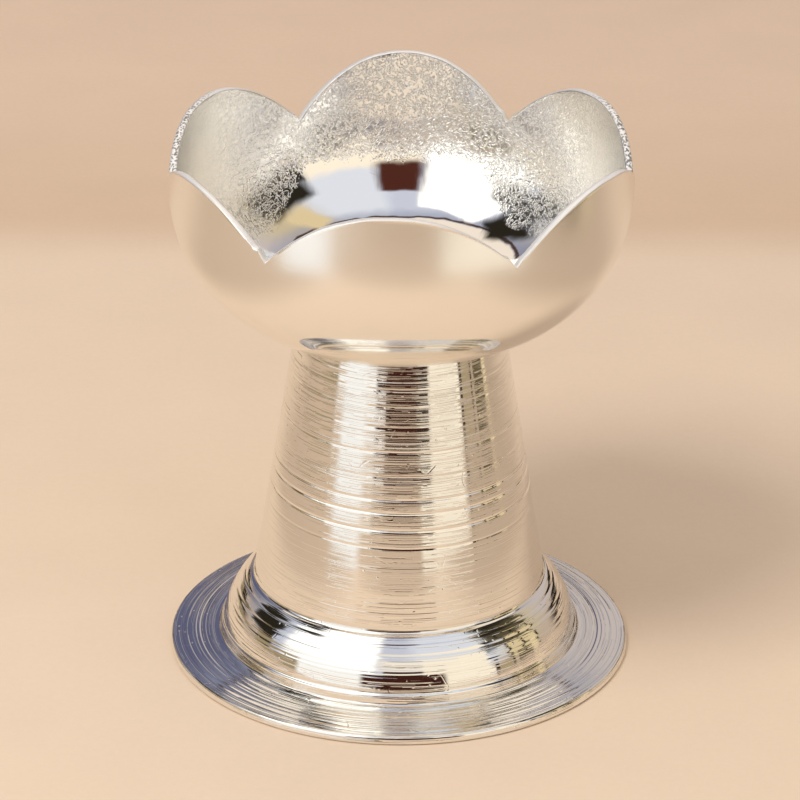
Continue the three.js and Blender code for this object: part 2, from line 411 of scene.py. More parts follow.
def bend(start, control, end, steps=24):
    """A curve from start to end pulled towards control: (1-t)^2 start + 2t(1-t) control + t^2 end."""
    t = np.linspace(0, 1, steps)[:, None]
    return (1 - t) ** 2 * np.array(start) + 2 * t * (1 - t) * np.array(control) + t**2 * np.array(end)


def spaced(outline, step):
    """The same line with points a step apart, measured along it."""
    along = np.concatenate([[0], np.cumsum(np.hypot(*np.diff(outline, axis=0).T))])
    count = max(2, int(round(along[-1] / step)))
    at = np.linspace(0, along[-1], count + 1)
    return np.stack([np.interp(at, along, outline[:, axis]) for axis in (0, 1)], axis=1)


def eased(values, width):
    """Values averaged with their neighbours by a bell of that width, in samples. The ends stay."""
    reach = int(4 * width) + 1
    bell = np.exp(-0.5 * (np.arange(-reach, reach + 1) / width) ** 2)
    padded = np.pad(values, reach, mode="reflect", reflect_type="odd")
    return np.convolve(padded, bell / bell.sum(), mode="valid")


def softened(outline, width):
    """The same line with its corners rounded, by easing both of its coordinates."""
    return np.stack([eased(outline[:, axis], width) for axis in (0, 1)], axis=1)


def dip(position, centre, half_width):
    """A groove's section: exp(-x^2), 1 at its centre and near 0 at two half widths from it."""
    return np.exp(-(((position - centre) / half_width) ** 2))


def full_turn(columns):
    """The angle of each column, evenly spaced round the axis."""
    return np.arange(columns) / columns * 2 * np.pi


def round_axis(radius, angle, height):
    """Places at a radius, an angle round the axis and a height: (r cos a, r sin a, h)."""
    return np.stack([radius * np.cos(angle), radius * np.sin(angle), height + 0 * angle], axis=-1)


def surface(name, points, attributes=None, closed_section=False):
    """A mesh over a grid of places, points[row, column], in millimetres. Its columns go all the way
    round. Its rows close in one point at each end, or join up where the section is closed."""
    rows, columns = points.shape[:2]
    row = np.arange(rows if closed_section else rows - 1)[:, None]
    column = np.arange(columns)[None, :]
    after = (column + 1) % columns
    above = (row + 1) % rows
    quads = np.stack([row * columns + column, row * columns + after,
                      above * columns + after, above * columns + column], axis=-1).reshape(-1, 4)
    places = points.reshape(-1, 3)
    faces = [quads.ravel()]
    sizes = [np.full(len(quads), 4)]
    if not closed_section:
        around = np.arange(columns)
        onward = (around + 1) % columns
        last = (rows - 1) * columns
        low_pole = len(places)
        places = np.vstack([places, points[0].mean(0), points[-1].mean(0)])
        faces.append(np.stack([np.full(columns, low_pole), onward, around], 1).ravel())
        faces.append(np.stack([np.full(columns, low_pole + 1), last + around, last + onward], 1).ravel())
        sizes.append(np.full(2 * columns, 3))
    corners = np.concatenate(faces)
    sizes = np.concatenate(sizes)

    mesh = bpy.data.meshes.new(name)
    mesh.vertices.add(len(places))
    mesh.vertices.foreach_set("co", (places * MM).astype(np.float32).ravel())
    mesh.loops.add(len(corners))
    mesh.loops.foreach_set("vertex_index", corners.astype(np.int32))
    mesh.polygons.add(len(sizes))
    mesh.polygons.foreach_set("loop_start", (np.cumsum(sizes) - sizes).astype(np.int32))
    for label, values in (attributes or {}).items():
        layer = mesh.attributes.new(label, "FLOAT", "POINT")
        full = np.broadcast_to(values, (rows, columns)).ravel()
        ends = [] if closed_section else [full[0], full[-1]]
        layer.data.foreach_set("value", np.concatenate([full, ends]).astype(np.float32))
    mesh.update(calc_edges=True)
    mesh.validate()
    mesh.shade_smooth()
    mesh.set_sharp_from_angle(angle=math.radians(45))
    piece = bpy.data.objects.new(name, mesh)
    bpy.context.scene.collection.objects.link(piece)
    return piece


def turned_grid(section, columns, relief=0.0):
    """Revolves a section of (radius, height) rows. Relief moves each point along the section's
    outward normal, which is its direction turned a quarter to the right."""
    run = np.gradient(section, axis=0)
    run /= np.linalg.norm(run, axis=1, keepdims=True)
    radius = section[:, 0:1] + relief * run[:, 1:2]
    height = section[:, 1:2] - relief * run[:, 0:1]
    return round_axis(radius, full_turn(columns), height)


skirt_radius = cone_foot_radius + neck_width
shoulder_radius = skirt_radius + skirt_width
band_radius = shoulder_radius + band_flare
bead_radius = band_radius + ledge_width
bead_foot_radius = bead_radius + bead_flare
flange_inner_radius = bead_foot_radius + cove_width
flange_radius = foot_radius - rim_flare
flange_top = rim_height + flange_rise
bead_foot = flange_top + cove_rise
bead_top = bead_foot + bead_height
band_foot = bead_top + ledge_rise
shoulder_top = band_foot + band_height
skirt_top = shoulder_top + skirt_height
cone_foot = skirt_top + neck_height
recess_floor = seat_height - recess_depth
web_underside = recess_floor - web_thickness
cone_slope = (cone_foot_radius - cone_top_radius) / (seat_height - cone_foot)

skirt_middle = ((skirt_radius + shoulder_radius) / 2 + skirt_crown,
                (skirt_top + shoulder_top) / 2 + skirt_crown)
band_middle = ((band_radius + shoulder_radius) / 2 + band_crown, (band_foot + shoulder_top) / 2)
outside = np.vstack([
    [(foot_radius - rim_chamfer, 0), (foot_radius, rim_chamfer)],
    bend((flange_radius + rim_crown, rim_height - rim_rounding), (flange_radius, rim_height),
         (flange_radius - rim_rounding, rim_height + rim_crown)),
    bend((flange_inner_radius, flange_top), (bead_foot_radius, flange_top), (bead_foot_radius, bead_foot)),
    [(bead_radius, bead_top)],
    bend((band_radius, band_foot), band_middle, (shoulder_radius, shoulder_top)),
    bend((shoulder_radius, shoulder_top), skirt_middle, (skirt_radius, skirt_top)),
    bend((skirt_radius, skirt_top), (cone_foot_radius, skirt_top), (cone_foot_radius, cone_foot)),
    [(cone_top_radius, seat_height)],
])
inside = np.array([
    (cone_top_radius, seat_height),
    (recess_radius, seat_height),
    (recess_radius, recess_floor),
    (stud_hole_radius, recess_floor),
    (stud_hole_radius, web_underside),
    (cone_foot_radius - casting_wall - cone_slope * (web_underside - cone_foot), web_underside),
    (cone_foot_radius - casting_wall, skirt_top - casting_wall / 3),
    (shoulder_radius - casting_wall, shoulder_top - casting_wall / 2),
    (band_radius - casting_wall, 0),
    (foot_radius - rim_chamfer, 0),
])
outer_rows = softened(spaced(outside, outline_step), corner_softness / outline_step)
inner_rows = spaced(inside, inner_step)[1:-1]

radius = outer_rows[:, 0:1]
height = outer_rows[:, 1:2]
level_height = height + math.tan(ring_tilt) * radius * np.cos(full_turn(pedestal_columns))
on_cone = height > cone_foot
on_flange = height < flange_top + flange_margin
on_skirt = (height > shoulder_top) & (height < skirt_top)

rng = np.random.default_rng(11)
row_count = len(outer_rows)
coarse_rings = eased(rng.normal(size=row_count), 3.2)
coarse_rings /= coarse_rings.std()
fine_rings = eased(rng.normal(size=row_count), 1.2)
fine_rings /= fine_rings.std()
ring_zone_heights = [0, rim_height, flange_top, bead_foot, shoulder_top, skirt_top, cone_foot, 18, 21, 38]
ring_zone_depths = [0.2, 1.6, 1.6, 0.6, 0.8, 0.5, 0.25, 0.35, 0.8, 1.0]
ring_depth = np.interp(outer_rows[:, 1], ring_zone_heights, ring_zone_depths)
ring_relief = ring_depth * (coarse_ring_depth * coarse_rings + fine_ring_depth * fine_rings)
relief = ring_relief[:, None] * np.ones(pedestal_columns)

# A groove is its height on the column or its radius elsewhere, its depth and its half width.
cone_grooves = [(23.1, 0.055, 0.13), (21.65, 0.07, 0.14), (19.74, 0.06, 0.13), (28.3, 0.03, 0.1),
                (17.8, 0.02, 0.1), (33.2, 0.02, 0.1), (35.1, 0.02, 0.09), (31.0, 0.015, 0.1),
                (25.6, 0.018, 0.1)]
flange_grooves = [(21.4, 0.03, 0.1), (22.05, 0.07, 0.14), (22.5, 0.06, 0.13), (22.9, 0.025, 0.09),
                  (23.5, 0.03, 0.1), (24.2, 0.03, 0.1), (24.8, 0.02, 0.09)]
skirt_grooves = [(17.0, 0.03, 0.12), (17.9, 0.03, 0.12), (18.6, 0.02, 0.09), (18.85, 0.02, 0.08)]
for grooves, zone, position in ((cone_grooves, on_cone, level_height),
                                (flange_grooves, on_flange, radius),
                                (skirt_grooves, on_skirt, radius)):
    for centre, depth, half_width in grooves:
        relief -= zone * depth * dip(position, centre, half_width)

outer_grid = turned_grid(outer_rows, pedestal_columns, relief)
inner_grid = turned_grid(inner_rows, pedestal_columns)
scratched = np.interp(outer_rows[:, 1], [0, flange_top, shoulder_top, skirt_top, 17, 24, 38],
                      [1.0, 1.0, 0.5, 0.4, 0.35, 1.0, 1.0])
scratched = np.concatenate([scratched, np.full(len(inner_rows), 0.6)])[:, None]
as_cast = np.concatenate([np.zeros(len(outer_rows)), np.ones(len(inner_rows))])[:, None]
pedestal = surface("turned_pedestal", np.concatenate([outer_grid, inner_grid]),
                   {"scratched": scratched, "as_cast": as_cast}, closed_section=True)


def new_group(name, inputs, outputs):
    """An empty shader node group with number inputs and outputs. Returns it with its two ends."""
    group = bpy.data.node_groups.new(name, "ShaderNodeTree")
    for label, value in inputs.items():
        socket = group.interface.new_socket(label, in_out="INPUT", socket_type="NodeSocketFloat")
        socket.default_value = value
    for label in outputs:
        group.interface.new_socket(label, in_out="OUTPUT", socket_type="NodeSocketFloat")
    start = group.nodes.new("NodeGroupInput")
    end = group.nodes.new("NodeGroupOutput")
    return group, start, end


def use_group(tree, group, **inputs):
    """Places a node group in a material with its own values."""
    made = tree.nodes.new("ShaderNodeGroup")
    made.node_tree = group
    for name, value in inputs.items():
        feed(tree, made.inputs[name.replace("_", " ")], value)
    return made


def peak(tree, distance, reach):
    """Falls from 1 at no distance to 0 at the reach and past it: max(0, 1 - distance / reach)."""
    falling = maths(tree, "SUBTRACT", 1.0, maths(tree, "DIVIDE", distance, reach))
    return maths(tree, "MAXIMUM", falling, 0.0)


# Lathe marks. Across is the height less the radius, which always grows up the outline. Height is
# noise of it, a share of which also breaks up round the ring. Lines are single scratches, one in
# each ring-shaped cell at its own place and depth, and noise of its own interrupts each of them.
lathe_marks, start, end = new_group("lathe marks", {"Rings": 2.0, "Breaks": 3.0, "Width": 0.07},
                                    ["Height", "Lines"])
tree = lathe_marks
axes = node(tree, "ShaderNodeSeparateXYZ", Vector=object_place(tree))
x, y, z = (axes.outputs[name] for name in "XYZ")
squares = maths(tree, "ADD", maths(tree, "MULTIPLY", x, x), maths(tree, "MULTIPLY", y, y))
from_axis = maths(tree, "SQRT", squares)
safe = maths(tree, "MAXIMUM", from_axis, 1e-5)
tilted = maths(tree, "MULTIPLY_ADD", x, math.tan(ring_tilt), z)
across = maths(tree, "MULTIPLY", maths(tree, "SUBTRACT", tilted, from_axis), 1000.0)
across = maths(tree, "MULTIPLY", across, start.outputs["Rings"])
along_x = maths(tree, "MULTIPLY", maths(tree, "DIVIDE", x, safe), start.outputs["Breaks"])
along_y = maths(tree, "MULTIPLY", maths(tree, "DIVIDE", y, safe), start.outputs["Breaks"])
ring_place = node(tree, "ShaderNodeCombineXYZ", X=along_x, Y=along_y, Z=across)
rings = node(tree, "ShaderNodeTexNoise", {"noise_dimensions": "1D"}, W=across, Scale=1.0, Detail=3.0)
patches = maths(tree, "MULTIPLY", noise(tree, ring_place.outputs[0], 1.0, 3.0), 0.35)
height = maths(tree, "MULTIPLY_ADD", rings.outputs[0], 0.65, patches)
tree.links.new(height, end.inputs["Height"])
cell = maths(tree, "FLOOR", across)
chance = node(tree, "ShaderNodeTexWhiteNoise", {"noise_dimensions": "1D"}, W=cell)
chances = node(tree, "ShaderNodeSeparateColor", Color=chance.outputs["Color"])
line_place = maths(tree, "MULTIPLY_ADD", chances.outputs[0], 0.6, 0.2)
in_cell = maths(tree, "SUBTRACT", across, cell)
from_line = maths(tree, "ABSOLUTE", maths(tree, "SUBTRACT", in_cell, line_place))
half_width = maths(tree, "MULTIPLY", start.outputs["Width"], start.outputs["Rings"])
line = peak(tree, from_line, half_width)
line = maths(tree, "MULTIPLY", line, maths(tree, "MULTIPLY_ADD", chances.outputs[1], 0.8, 0.2))
cell_place = node(tree, "ShaderNodeCombineXYZ", X=along_x, Y=along_y, Z=maths(tree, "MULTIPLY", cell, 3.7))
present = soft_step(tree, noise(tree, cell_place.outputs[0], 1.0, 3.0), 0.47, 0.5)
tree.links.new(maths(tree, "MULTIPLY", line, present), end.inputs["Lines"])

# Hairlines: thin curved scratches, where a slow noise passes through its middle value.
hairlines, start, end = new_group("hairlines", {"Scale": 150.0, "Width": 0.02, "Seed": 0.0}, ["Mask"])
tree = hairlines
place = object_place(tree)
wander = node(tree, "ShaderNodeTexNoise", {"noise_dimensions": "4D"}, Vector=place,
              W=start.outputs["Seed"], Scale=start.outputs["Scale"], Detail=1.0)
from_middle = maths(tree, "ABSOLUTE", maths(tree, "SUBTRACT", wander.outputs[0], 0.5))
line = peak(tree, from_middle, start.outputs["Width"])
patches = node(tree, "ShaderNodeTexNoise", {"noise_dimensions": "4D"}, Vector=place,
               W=maths(tree, "ADD", start.outputs["Seed"], 9.0),
               Scale=maths(tree, "MULTIPLY", start.outputs["Scale"], 2.0), Detail=1.0)
present = soft_step(tree, patches.outputs[0], 0.5, 0.6)
tree.links.new(maths(tree, "MULTIPLY", line, present), end.inputs["Mask"])

# Specks: small round pits and grains of dust, one in some cells of a fine cellular pattern.
specks, start, end = new_group("specks", {"Scale": 900.0, "Size": 0.22, "Share": 0.3}, ["Mask"])
tree = specks
cells = node(tree, "ShaderNodeTexVoronoi", Vector=object_place(tree), Scale=start.outputs["Scale"])
chance = node(tree, "ShaderNodeSeparateColor", Color=cells.outputs["Color"]).outputs[0]
chosen = maths(tree, "LESS_THAN", chance, start.outputs["Share"])
spot = peak(tree, cells.outputs["Distance"], start.outputs["Size"])
tree.links.new(maths(tree, "MULTIPLY", spot, chosen), end.inputs["Mask"])


def raised(tree, height, distance, strength=1.0, normal=None):
    """Turns a height pattern into a normal. Distance is the height's full reach in millimetres."""
    made = node(tree, "ShaderNodeBump", Height=height, Distance=distance * MM, Strength=strength)
    if normal is not None:
        tree.links.new(normal, made.inputs["Normal"])
    return made.outputs["Normal"]


def attribute(tree, name):
    """The mesh's own value of that name."""
    return node(tree, "ShaderNodeAttribute", {"attribute_name": name}).outputs["Fac"]


silver_colour = (0.91, 0.895, 0.85, 1)
# The dark brown next is painted shade, laid into the turned lines and grooves.
painted_groove_shade_colour = (0.17, 0.13, 0.09, 1)
cast_colour = (0.5, 0.47, 0.42, 1)

turned_silver, shader, tree = new_material("turned_silver")
inner_face = attribute(tree, "as_cast")
amount = attribute(tree, "scratched")
place = object_place(tree)
wide_turning = use_group(tree, lathe_marks, Rings=1.7, Breaks=1.3, Width=0.075)
fine_turning = use_group(tree, lathe_marks, Rings=4.6, Breaks=4.5, Width=0.045)
scratches = use_group(tree, hairlines, Scale=260.0, Width=0.012, Seed=2.0).outputs["Mask"]
dusty = soft_step(tree, noise(tree, place, 110.0), 0.45, 0.6)
pits = use_group(tree, specks, Scale=1300.0, Size=0.2, Share=0.35).outputs["Mask"]
pits = maths(tree, "MULTIPLY", pits, dusty)
normal = raised(tree, wide_turning.outputs["Height"], 0.0055, amount)
normal = raised(tree, fine_turning.outputs["Height"], 0.002, amount, normal)
normal = raised(tree, wide_turning.outputs["Lines"], -0.018, amount, normal)
normal = raised(tree, fine_turning.outputs["Lines"], -0.007, amount, normal)
normal = raised(tree, scratches, -0.006, amount, normal)
normal = raised(tree, pits, 0.03, 1.0, normal)
sand = noise(tree, place, 1300.0, 4.0, Roughness=0.6)
normal = raised(tree, sand, 0.09, inner_face, normal)
# The scratch lines also darken the base colour: a painted shade in the grooves, on top of their bumps.
lines = maths(tree, "MAXIMUM", wide_turning.outputs["Lines"], fine_turning.outputs["Lines"])
painted_line_shade = maths(tree, "MULTIPLY", lines, maths(tree, "MULTIPLY", amount, 0.38))
haze = noise(tree, place, 90.0, 3.0)
roughness = maths(tree, "MULTIPLY_ADD", haze, 0.04, maths(tree, "MULTIPLY_ADD", amount, 0.03, 0.02))
roughness = maths(tree, "MULTIPLY_ADD", inner_face, 0.35, roughness)
roughness = maths(tree, "MULTIPLY_ADD", pits, 0.4, roughness)
tree.links.new(roughness, shader.inputs["Roughness"])
tree.links.new(normal, shader.inputs["Normal"])
bright = blend_colours(tree, painted_line_shade, silver_colour, painted_groove_shade_colour)
tree.links.new(blend_colours(tree, inner_face, bright, cast_colour), shader.inputs["Base Color"])
shader.inputs["Metallic"].default_value = 1.0
shader.inputs["Anisotropic"].default_value = 0.6
shader.inputs["Anisotropic Rotation"].default_value = 0.25
sweep = node(tree, "ShaderNodeTangent", {"direction_type": "RADIAL", "axis": "Z"})
tree.links.new(sweep.outputs[0], shader.inputs["Tangent"])

pedestal.data.materials.append(turned_silver)
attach(pedestal, "root")
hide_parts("pedestal")


# The bowl is one cup spun from 0.8 mm sheet. Its rim is cut and filed into six petals. Outside it is
# polished to a satin. Inside, the petals keep a fine crinkle under the finish, and the well is bright.
sheet = 0.8
bowl_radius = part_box("petal_bowl")[1].x / MM
upright_height = 19
fullness = 2.6
notch_rise = 15.3
petal_roundness = 2.2
petals = [(0.5, 6.3), (61, 7.0), (118, 6.1), (180, 5.4), (236, 6.3), (298.5, 6.1)]
petal_columns = 84
wall_row_count = 56
bottom_row_count = 14
rim_edge = 0.2
rim_rows = 9
burr_limit = 0.4
burr_places = (0.025, 0.965)
burr_width = 0.012
crinkle_foot = 48.4
crinkle_drop = 5.3
crinkle_shift = 1.0
rubbed_width = 13
bowl_depth = upright_height / (1 - (cone_top_radius / bowl_radius) ** fullness) ** (1 / fullness)


def wall_radius(height, inset):
    """The wall's radius at a height above the seat: (radius - inset) x (1 - below^n)^(1/n), where
    below is the depth under the upright height as a share of the curve's depth less the inset."""
    below = np.maximum(0, upright_height - height) / (bowl_depth - inset)
    return (bowl_radius - inset) * np.maximum(0, 1 - below**fullness) ** (1 / fullness)


across = np.arange(petal_columns) / petal_columns
notch = np.array([one[0] for one in petals])
next_notch = np.append(notch[1:], notch[0] + 360)
tip = np.array([one[1] for one in petals])
angle = np.radians((notch[:, None] + (next_notch - notch)[:, None] * across[None, :]).ravel())
rim = notch_rise + (tip[:, None] * (1 - np.abs(2 * across[None, :] - 1) ** petal_roundness)).ravel()

rng = np.random.default_rng(5)
columns = len(angle)


def round_noise(width):
    """Random values round the rim, averaged over that many columns, with a spread of 1."""
    values = np.tile(rng.normal(size=columns), 3)
    smooth = eased(values, width)[columns:2 * columns]
    return (smooth - smooth.mean()) / smooth.std()


burr_height = rng.uniform(0, burr_limit, size=(2, len(petals), 1))
burr = (burr_height[0] * dip(across, burr_places[0], burr_width)
        + burr_height[1] * dip(across, burr_places[1], burr_width))
rim = rim + 0.035 * round_noise(9) + 0.02 * round_noise(3) + burr.ravel()
rim_in = 0.04 * round_noise(12) + 0.02 * round_noise(3)
rim_out = 0.02 * round_noise(8)

wall_rows = np.linspace(0, 1, wall_row_count) ** 0.85
outer_height = wall_rows[:, None] * (rim - rim_edge)[None, :]
outer_radius = wall_radius(outer_height, 0.0)
inner_height = sheet + wall_rows[::-1, None] * (rim - rim_edge - sheet)[None, :]
inner_radius = wall_radius(inner_height, sheet)
edge_radius = wall_radius(rim, 0.0)
rim_turns = np.radians(np.linspace(15, 165, rim_rows))[:, None]
rim_half = (sheet - rim_in + rim_out) / 2
rim_heights = rim - rim_edge * (1 - np.sin(rim_turns) ** 0.8)
rim_radii = edge_radius + rim_out - rim_half * (1 - np.cos(rim_turns))
bottom = np.linspace(0.02, 0.97, bottom_row_count)[:, None]
outer_bottom_radius = bottom * outer_radius[0]
inner_bottom_radius = bottom[::-1] * inner_radius[-1]
radius = np.concatenate([outer_bottom_radius, outer_radius, rim_radii, inner_radius, inner_bottom_radius])
height = np.concatenate([np.zeros((bottom_row_count, columns)), outer_height, rim_heights, inner_height,
                         np.full((bottom_row_count, columns), sheet)])
face_rows = np.zeros(bottom_row_count + wall_row_count)
is_inside = np.concatenate([face_rows, np.linspace(0, 1, rim_rows), face_rows + 1])[:, None]
is_rim = np.concatenate([face_rows, np.sin(rim_turns[:, 0]) ** 0.4, face_rows])[:, None]
bowl = surface("petal_bowl_spun", round_axis(radius, angle, height + seat_height),
               {"inside": is_inside, "filed": is_rim})

# Crinkle: worm-like ridges, from the distance of a warped noise to its middle value.
crinkle, start, end = new_group("crinkle", {"Scale": 1500.0, "Warp": 1.2}, ["Height"])
tree = crinkle
folds = noise(tree, object_place(tree), start.outputs["Scale"], 1.5, Distortion=start.outputs["Warp"])
ridge = maths(tree, "ABSOLUTE", maths(tree, "SUBTRACT", folds, 0.5))
ridge = soft_step(tree, ridge, 0.0, 0.11)
tree.links.new(ridge, end.inputs["Height"])

pure_silver_colour = (0.965, 0.945, 0.9, 1)
# The dark colour next is painted on the rim: a painted dark reflection at its inner edge and its sides.
painted_rim_dark_colour = (0.1, 0.095, 0.09, 1)

# Each pair is where a soft step begins and ends on the bowl: sideways from the axis for the crinkle's
# lower border, the frosted petals and the rim's painted dark reflection, from front to back for that
# rim, and in height.
lower_border = (9 * MM, 13.5 * MM)
crinkle_start = ((crinkle_foot + 1) * MM, (crinkle_foot + 2.2) * MM)
crinkle_raggedness = 3.0 * MM
frosted_sides = (10 * MM, 26 * MM)
dark_rim_sides = (19 * MM, 24 * MM)
dark_rim_back = (-9 * MM, -4 * MM)
satin_start = (44 * MM, 49 * MM)

bowl_silver, shader, tree = new_material("bowl_silver")
place = object_place(tree)
axes = node(tree, "ShaderNodeSeparateXYZ", Vector=place)
inner_face = attribute(tree, "inside")
filed_face = attribute(tree, "filed")
border = noise(tree, place, 900.0, 3.0)
sideways = maths(tree, "ABSOLUTE", axes.outputs["X"])
border_side = maths(tree, "ABSOLUTE", maths(tree, "ADD", axes.outputs["X"], crinkle_shift * MM))
polished_less = soft_step(tree, border_side, *lower_border, 0.0, crinkle_drop * MM)
crinkle_height = maths(tree, "MULTIPLY_ADD", border, crinkle_raggedness, axes.outputs["Z"])
crinkle_height = maths(tree, "ADD", crinkle_height, polished_less)
crinkled = soft_step(tree, crinkle_height, *crinkle_start)
crinkled = maths(tree, "MULTIPLY", crinkled, inner_face)
rubbed = soft_step(tree, sideways, rubbed_width * MM, bowl_radius * MM, 1.0, 0.25)
uneven = soft_step(tree, noise(tree, place, 130.0), 0.35, 0.65, 0.5, 1.0)
crinkle_strength = maths(tree, "MULTIPLY", crinkled, maths(tree, "MULTIPLY", rubbed, uneven))
folds = use_group(tree, crinkle, Scale=1700.0, Warp=1.0).outputs["Height"]
outer_marks = use_group(tree, lathe_marks, Rings=1.0, Breaks=40.0).outputs["Height"]
scratches = use_group(tree, hairlines, Scale=160.0, Width=0.01, Seed=5.0).outputs["Mask"]
pits = use_group(tree, specks, Scale=420.0, Size=0.1, Share=0.12).outputs["Mask"]
file_marks = noise(tree, place, 3800.0, 3.0)
ripple = noise(tree, place, 240.0)
normal = raised(tree, ripple, 0.05, maths(tree, "MULTIPLY", inner_face, 0.9))
normal = raised(tree, folds, 0.028, crinkle_strength, normal)
normal = raised(tree, file_marks, 0.02, filed_face, normal)
normal = raised(tree, outer_marks, 0.005, 1.0, normal)
normal = raised(tree, scratches, -0.003, 0.5, normal)
normal = raised(tree, pits, 0.01, 0.6, normal)
haze = noise(tree, place, 70.0, 3.0)
satin_rough = maths(tree, "MULTIPLY_ADD", haze, 0.08, 0.2)
satin = soft_step(tree, axes.outputs["Z"], *satin_start)
outer_rough = maths(tree, "MULTIPLY_ADD", maths(tree, "SUBTRACT", satin_rough, 0.06), satin, 0.06)
frosted = maths(tree, "MULTIPLY", crinkled, soft_step(tree, sideways, *frosted_sides))
inner_rough = maths(tree, "MULTIPLY_ADD", crinkled, 0.07, 0.04)
inner_rough = maths(tree, "MULTIPLY_ADD", frosted, 0.14, inner_rough)
roughness = node(tree, "ShaderNodeMix", Factor=inner_face, A=outer_rough, B=inner_rough).outputs[0]
roughness = maths(tree, "MULTIPLY_ADD", filed_face, 0.22, roughness)
# At the sides and towards the back, patches of the filed rim are darkened: a painted dark reflection.
side_rim = maths(tree, "MULTIPLY", filed_face, soft_step(tree, sideways, *dark_rim_sides, 0.0, 0.85))
side_rim = maths(tree, "MULTIPLY", side_rim, soft_step(tree, axes.outputs["Y"], *dark_rim_back))
painted_dark_rim = maths(tree, "MULTIPLY", side_rim, soft_step(tree, file_marks, 0.49, 0.56))
tree.links.new(maths(tree, "MULTIPLY_ADD", painted_dark_rim, 0.1, roughness), shader.inputs["Roughness"])
tree.links.new(normal, shader.inputs["Normal"])
# A thin dark line along the filed rim's inner edge is painted into its colour: a painted dark reflection.
outline = maths(tree, "MULTIPLY", soft_step(tree, filed_face, 0.05, 0.25), inner_face)
outline = maths(tree, "MULTIPLY", outline, soft_step(tree, filed_face, 0.42, 0.6, 1.0, 0.0))
edged = blend_colours(tree, maths(tree, "MULTIPLY", outline, 0.75), pure_silver_colour, painted_rim_dark_colour)
tree.links.new(blend_colours(tree, painted_dark_rim, edged, painted_rim_dark_colour), shader.inputs["Base Color"])
scattering = maths(tree, "MULTIPLY_ADD", frosted, 0.18, maths(tree, "MULTIPLY", filed_face, 0.5))
tree.links.new(maths(tree, "SUBTRACT", 1.0, scattering), shader.inputs["Metallic"])

bowl.data.materials.append(bowl_silver)
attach(bowl, "root")
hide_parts("petal_bowl")


# The fixing stud is turned from brass: a round plate with a threaded shank. Its plate is soldered
# flat under the bowl, inside the pedestal's recess, and the shank hangs down through the web.
thread_radius = 2.0
thread_pitch = 0.7
thread_depth = 0.43
plate_thickness = 1.2
plain_shank = 2.0
stud_chamfer = 0.4
thread_crest_share = 0.15
thread_flank_share = 0.6
stud_columns = 72
stud_step = 0.05
stud_end_rows = 8
plate_step = 0.1
plate_easing = 0.8
plate_centre = 0.05
stud_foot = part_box("fixing_stud")[0].z / MM
stud_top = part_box("fixing_stud")[1].z / MM
plate_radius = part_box("fixing_stud")[1].x / MM
plate_underside = stud_top - plate_thickness


def thread_groove(height, angle, depth):
    """Depth of a right-hand thread's groove: a V that climbs one pitch a turn, with its crest and
    its root cut flat. From crest to root is 0 to 1 over half a pitch."""
    turn = (height / thread_pitch - angle / (2 * np.pi)) % 1
    towards_root = 1 - np.abs(2 * turn - 1)
    return depth * np.clip((towards_root - thread_crest_share) / thread_flank_share, 0, 1)


stud_angle = full_turn(stud_columns)
shank_height = np.arange(stud_foot, plate_underside, stud_step)[:, None]
threaded = np.clip((plate_underside - plain_shank - shank_height) / thread_pitch, 0, 1)
shank_radius = thread_radius - threaded * thread_groove(shank_height, stud_angle, thread_depth)
shank_radius = np.minimum(shank_radius, thread_radius - stud_chamfer + shank_height - stud_foot)
plate_rows = spaced(np.array([(thread_radius, plate_underside), (plate_radius, plate_underside),
                              (plate_radius, stud_top), (plate_centre, stud_top)]), plate_step)
plate_rows = softened(plate_rows, plate_easing)
end_share = np.linspace(0.05, 0.95, stud_end_rows)[:, None]
radius = np.concatenate([end_share * shank_radius[0], shank_radius,
                         np.repeat(plate_rows[:, 0:1], stud_columns, axis=1)])
height = np.concatenate([np.full((stud_end_rows, 1), stud_foot), shank_height, plate_rows[:, 1:2]])
stud = surface("brass_stud", round_axis(radius, stud_angle, height))

brass_colour = (0.74, 0.57, 0.3, 1)
tarnished_colour = (0.36, 0.26, 0.14, 1)

stud_brass, shader, tree = new_material("stud_brass")
tarnish = soft_step(tree, noise(tree, object_place(tree), 420.0, 4.0), 0.42, 0.66)
brass = blend_colours(tree, tarnish, brass_colour, tarnished_colour)
marks = use_group(tree, lathe_marks, Rings=8.0, Breaks=10.0).outputs["Height"]
tree.links.new(brass, shader.inputs["Base Color"])
tree.links.new(raised(tree, marks, 0.01), shader.inputs["Normal"])
tree.links.new(maths(tree, "MULTIPLY_ADD", tarnish, 0.22, 0.24), shader.inputs["Roughness"])
shader.inputs["Metallic"].default_value = 1.0

stud.data.materials.append(stud_brass)
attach(stud, "root")
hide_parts("fixing_stud")


# The washer is stamped from zinc-plated steel: its upper edges are rounded by the punch, and it lies
# flat against the underside of the pedestal's web.
washer_hole = 2.2
punched_edge = 0.09
washer_step = 0.04
washer_columns = 96
washer_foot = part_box("washer")[0].z / MM
washer_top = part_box("washer")[1].z / MM
washer_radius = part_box("washer")[1].x / MM
washer_middle = (washer_hole + washer_radius) / 2

washer_rows = spaced(np.array([
    (washer_middle, washer_foot), (washer_radius, washer_foot), (washer_radius, washer_top),
    (washer_hole, washer_top), (washer_hole, washer_foot), (washer_middle, washer_foot)]), washer_step)
washer_rows = softened(washer_rows, punched_edge / washer_step)[:-1]
washer = surface("steel_washer", turned_grid(washer_rows, washer_columns), closed_section=True)

zinc_colour = (0.7, 0.71, 0.73, 1)
dull_zinc_colour = (0.5, 0.49, 0.46, 1)

